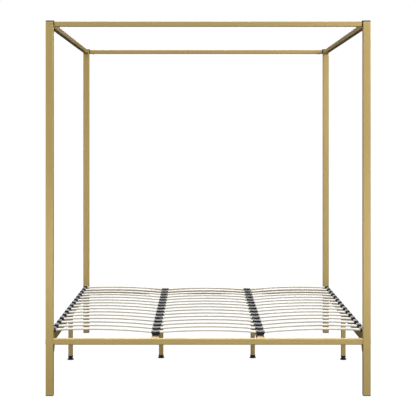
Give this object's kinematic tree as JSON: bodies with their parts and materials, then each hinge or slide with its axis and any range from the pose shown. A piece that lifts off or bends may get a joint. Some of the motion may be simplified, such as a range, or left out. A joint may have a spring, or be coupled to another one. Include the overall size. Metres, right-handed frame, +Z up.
{
  "type": "four poster canopy bed",
  "caption": "Four poster canopy bed frame of square gold-painted steel tube, with an open canopy and a deck of bowed pale slats in black plastic holders.",
  "frame": {"origin": "on the floor at the middle of the bed's outline", "axes": "+X to the right as seen from the foot end, +Y from the foot end to the head end, +Z up"},
  "size_m": [1.6204, 2.124, 1.867],
  "materials": {
    "gold_paint": "satin metallic champagne-gold powder coat",
    "black_plastic": "fine moulded texture",
    "holder_plastic": "semi-gloss moulded, slightly flexible",
    "slat_wood": "whitewashed bent plywood, matt lacquer",
    "bolt_steel": "black oxide",
    "zinc_steel": "bright zinc"
  },
  "bodies": {
    "frame": {"canopy_rail_foot": "gold_paint", "canopy_rail_head": "gold_paint", "canopy_rail_left": "gold_paint", "canopy_rail_right": "gold_paint", "connector_screws": "bolt_steel", "corner_connector_foot_left": "black_plastic", "corner_connector_foot_right": "black_plastic", "corner_connector_head_left": "black_plastic", "corner_connector_head_right": "black_plastic", "end_rail_bolts": "bolt_steel", "end_rail_nut_plates": "zinc_steel", "foot_rail": "gold_paint", "head_rail": "gold_paint", "leg_bolts": "bolt_steel", "leg_sockets": "black_plastic", "middle_holders_left": "holder_plastic", "middle_holders_right": "holder_plastic", "middle_rail_bolts": "bolt_steel", "middle_rail_hangers": "gold_paint", "middle_rail_left": "gold_paint", "middle_rail_right": "gold_paint", "post_foot_left": "gold_paint", "post_foot_right": "gold_paint", "post_glides": "black_plastic", "post_head_left": "gold_paint", "post_head_right": "gold_paint", "side_caps_left": "holder_plastic", "side_caps_right": "holder_plastic", "side_rail_bolts": "bolt_steel", "side_rail_brackets": "gold_paint", "side_rail_left": "gold_paint", "side_rail_right": "gold_paint", "slat_row_01": "slat_wood", "slat_row_02": "slat_wood", "slat_row_03": "slat_wood", "slat_row_04": "slat_wood", "slat_row_05": "slat_wood", "slat_row_06": "slat_wood", "slat_row_07": "slat_wood", "slat_row_08": "slat_wood", "slat_row_09": "slat_wood", "slat_row_10": "slat_wood", "slat_row_11": "slat_wood", "slat_row_12": "slat_wood", "slat_row_13": "slat_wood", "slat_row_14": "slat_wood", "slat_row_15": "slat_wood", "support_leg_middle_left": "gold_paint", "support_leg_middle_right": "gold_paint", "support_leg_side_left": "gold_paint", "support_leg_side_right": "gold_paint", "threaded_inserts": "zinc_steel"},
    "foot_side_left": {"levelling_foot_side_left": "black_plastic", "levelling_stud_side_left": "zinc_steel"},
    "foot_side_right": {"levelling_foot_side_right": "black_plastic", "levelling_stud_side_right": "zinc_steel"},
    "foot_middle_left": {"levelling_foot_middle_left": "black_plastic", "levelling_stud_middle_left": "zinc_steel"},
    "foot_middle_right": {"levelling_foot_middle_right": "black_plastic", "levelling_stud_middle_right": "zinc_steel"}
  },
  "joints": [
    {"name": "foot_screw_side_left", "type": "slide", "parent": "frame", "child": "foot_side_left", "axis": [0, 0, -1], "range_m": [-0.0055, 0.01]},
    {"name": "foot_screw_side_right", "type": "slide", "parent": "frame", "child": "foot_side_right", "axis": [0, 0, -1], "range_m": [-0.0055, 0.01]},
    {"name": "foot_screw_middle_left", "type": "slide", "parent": "frame", "child": "foot_middle_left", "axis": [0, 0, -1], "range_m": [0, 0.0155]},
    {"name": "foot_screw_middle_right", "type": "slide", "parent": "frame", "child": "foot_middle_right", "axis": [0, 0, -1], "range_m": [0, 0.0155]}
  ]
}
